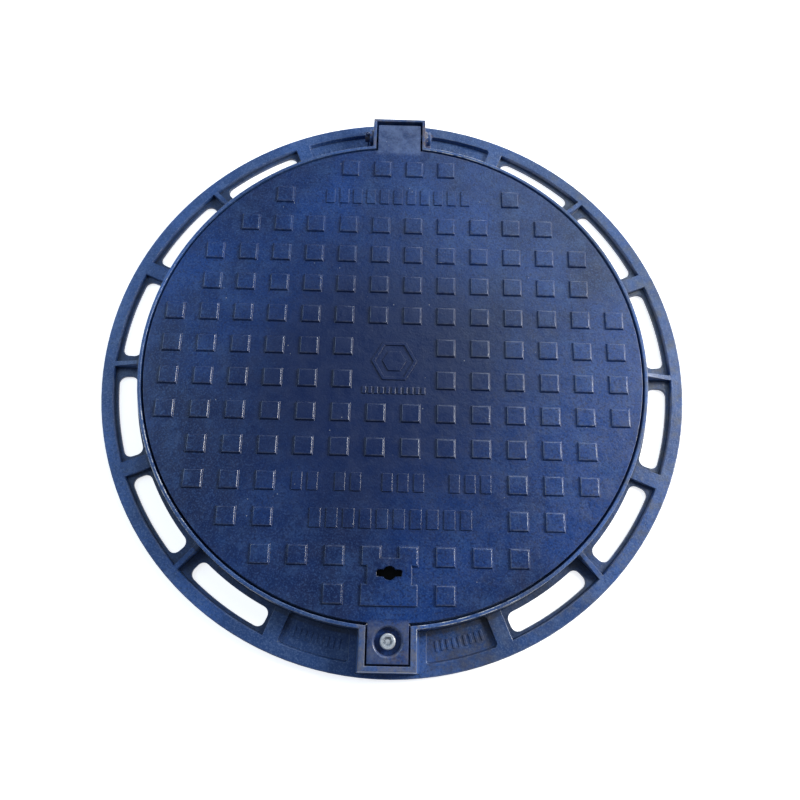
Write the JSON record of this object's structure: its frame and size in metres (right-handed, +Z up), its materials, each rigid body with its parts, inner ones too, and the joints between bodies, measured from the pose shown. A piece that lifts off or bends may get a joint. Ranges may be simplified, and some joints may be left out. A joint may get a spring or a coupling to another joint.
{
  "type": "round manhole cover",
  "caption": "Round cast iron manhole cover with a studded tread, hinged and locked in a slotted frame over a clear opening.",
  "frame": {"origin": "centre of the base, on the ground plane that the frame stands on", "axes": "+Z up, +Y towards the hinge, -Y towards the lock, +X to the right seen from the lock side"},
  "size_m": [0.7539, 0.754, 0.043],
  "materials": {
    "frame_paint": "semi-gloss dip paint over sand-cast iron, worn on top edges",
    "cover_paint": "semi-gloss dip paint over sand-cast iron",
    "gasket_rubber": "matt black rubber",
    "hinge_steel": "plated steel with light rust",
    "cup_plastic": "black moulded plastic",
    "screw_steel": "stainless",
    "bush_brass": "turned bronze",
    "lock_steel": "machined stainless steel",
    "ring_rubber": "nitrile rubber",
    "cam_steel": "zinc plated steel"
  },
  "bodies": {
    "frame": {"frame": "frame_paint", "seat_gasket": "gasket_rubber", "hinge_pin": "hinge_steel", "hinge_washer": "hinge_steel", "hinge_split_pin": "hinge_steel"},
    "cover": {"cover": "cover_paint", "key_cup": "cup_plastic", "key_cup_screws": "screw_steel", "lock_bush": "bush_brass"},
    "lock": {"lock_spindle": "lock_steel", "lock_head_washer": "lock_steel", "lock_o_ring": "ring_rubber", "lock_cam": "cam_steel", "lock_spring_washer": "cam_steel", "lock_nut": "cam_steel"}
  },
  "joints": [
    {"name": "cover_hinge", "type": "hinge", "parent": "frame", "child": "cover", "pos_m": [0, 0.342, 0.028], "axis": [-1, 0, 0], "range_deg": [0, 115]},
    {"name": "lock_turn", "type": "hinge", "parent": "cover", "child": "lock", "pos_m": [0, -0.334, 0.028], "axis": [0, 0, -1], "range_deg": [0, 90]}
  ]
}
